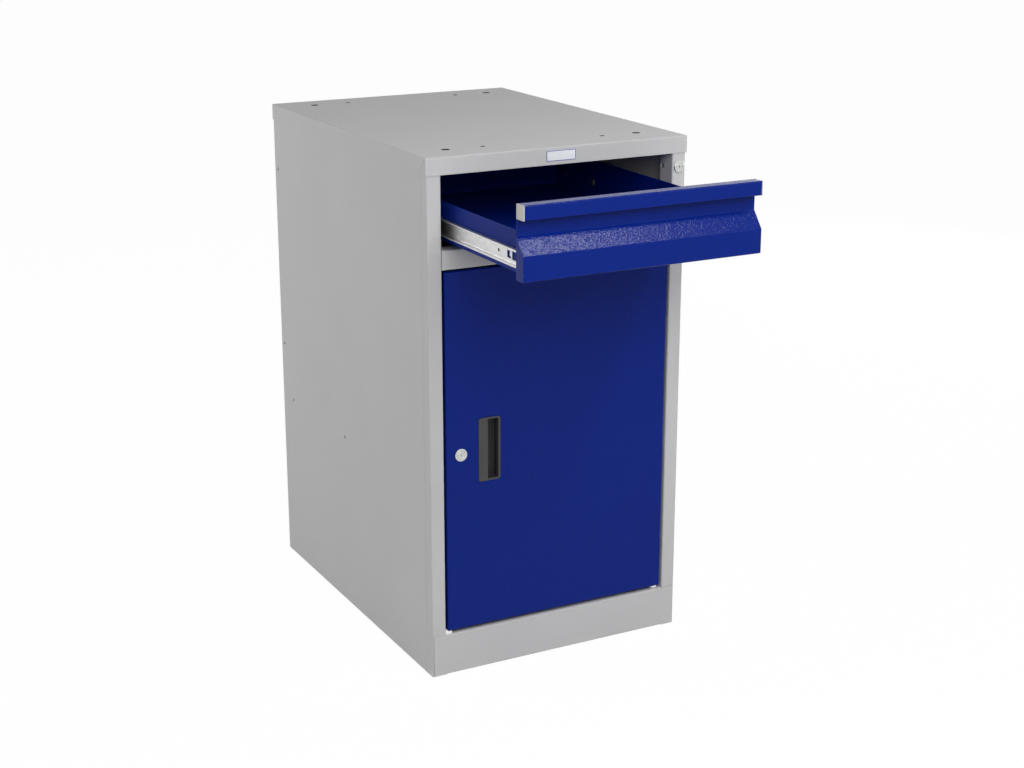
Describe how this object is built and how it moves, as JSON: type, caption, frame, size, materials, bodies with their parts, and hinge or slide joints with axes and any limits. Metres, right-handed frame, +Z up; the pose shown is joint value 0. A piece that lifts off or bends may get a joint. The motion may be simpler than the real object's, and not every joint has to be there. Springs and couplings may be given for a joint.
{
  "type": "tool drawer cabinet",
  "caption": "Floor-standing steel tool cabinet with a ball-bearing drawer over a right-hinged lockable door and one shelf.",
  "frame": {"origin": "on the floor, under the middle of the carcass", "axes": "+X to the right, +Y to the back, +Z up; the drawer and door face -Y"},
  "size_m": [0.45, 0.865, 0.825],
  "materials": {
    "grey_steel": "fine-textured light grey powder coat",
    "blue_steel": "fine-textured ultramarine powder coat",
    "zinc_steel": "bright zinc plate",
    "chrome": "polished",
    "black_plastic": "fine-grained moulded",
    "black_rubber": "matt",
    "white_nylon": "moulded",
    "pale_grey_plastic": "moulded",
    "white_enamel": "glossy blank face"
  },
  "bodies": {
    "cabinet": {"top_cover": "grey_steel", "side_panel_left": "grey_steel", "side_panel_right": "grey_steel", "back_panel": "grey_steel", "post_left": "grey_steel", "post_right": "grey_steel", "top_rail": "grey_steel", "rear_rail": "grey_steel", "middle_rail": "grey_steel", "plinth": "grey_steel", "bottom_panel": "grey_steel", "base_frame": "grey_steel", "shelf": "grey_steel", "shelf_pegs": "zinc_steel", "name_plate": "white_enamel", "front_upright_left": "grey_steel", "front_upright_right": "grey_steel", "rear_upright_left": "grey_steel", "rear_upright_right": "grey_steel", "slide_channel_left": "zinc_steel", "slide_channel_right": "zinc_steel", "slide_rivets": "zinc_steel", "drawer_lock_body": "chrome", "drawer_lock_nut": "zinc_steel", "hinge_plate_lower": "zinc_steel", "hinge_plate_upper": "zinc_steel", "door_glide": "white_nylon", "door_stops": "grey_steel", "door_buffers": "black_rubber"},
    "drawer": {"drawer_tray": "blue_steel", "drawer_back": "blue_steel", "drawer_front": "blue_steel", "grip_cap_left": "pale_grey_plastic", "grip_cap_right": "pale_grey_plastic", "drawer_runner_left": "zinc_steel", "drawer_runner_right": "zinc_steel", "runner_rivets": "zinc_steel", "front_rivets": "blue_steel", "drawer_strike": "zinc_steel"},
    "left_cage": {"ball_cage_left": "zinc_steel", "slide_balls_left": "chrome"},
    "right_cage": {"ball_cage_right": "zinc_steel", "slide_balls_right": "chrome"},
    "door": {"door_skin": "blue_steel", "door_stiffener": "blue_steel", "door_handle": "black_plastic", "door_lock_body": "chrome", "door_lock_nut": "zinc_steel", "door_bush_lower": "white_nylon", "door_bush_upper": "white_nylon"},
    "door_lock": {"door_lock_plug": "chrome", "door_lock_cam": "zinc_steel", "cam_screw": "zinc_steel"},
    "drawer_lock": {"drawer_lock_plug": "chrome"},
    "drawer_bolt": {"drawer_lock_bolt": "zinc_steel"}
  },
  "joints": [
    {"name": "drawer_slide", "type": "slide", "parent": "cabinet", "child": "drawer", "axis": [0, -1, 0], "range_m": [-0.245, 0.154]},
    {"name": "left_cage_slide", "type": "slide", "parent": "cabinet", "child": "left_cage", "axis": [0, -1, 0], "range_m": [-0.1225, 0.077]},
    {"name": "right_cage_slide", "type": "slide", "parent": "cabinet", "child": "right_cage", "axis": [0, -1, 0], "range_m": [-0.1225, 0.077]},
    {"name": "door_hinge", "type": "hinge", "parent": "cabinet", "child": "door", "pos_m": [0.187, -0.2995, 0.3625], "axis": [0, 0, 1], "range_deg": [0, 100]},
    {"name": "door_lock_turn", "type": "hinge", "parent": "door", "child": "door_lock", "pos_m": [-0.1708, -0.295, 0.3625], "axis": [0, 1, 0], "range_deg": [0, 90]},
    {"name": "drawer_lock_turn", "type": "hinge", "parent": "cabinet", "child": "drawer_lock", "pos_m": [0.2119, -0.295, 0.7765], "axis": [0, 1, 0], "range_deg": [0, 90]},
    {"name": "drawer_bolt_slide", "type": "slide", "parent": "cabinet", "child": "drawer_bolt", "axis": [-1, 0, 0], "range_m": [0, 0.0086]}
  ],
  "couplings": [
    {"joint": "left_cage_slide", "follows": "drawer_slide", "ratio": 0.5},
    {"joint": "right_cage_slide", "follows": "drawer_slide", "ratio": 0.5},
    {"joint": "drawer_bolt_slide", "follows": "drawer_lock_turn", "m_per_rad": 0.005402}
  ]
}
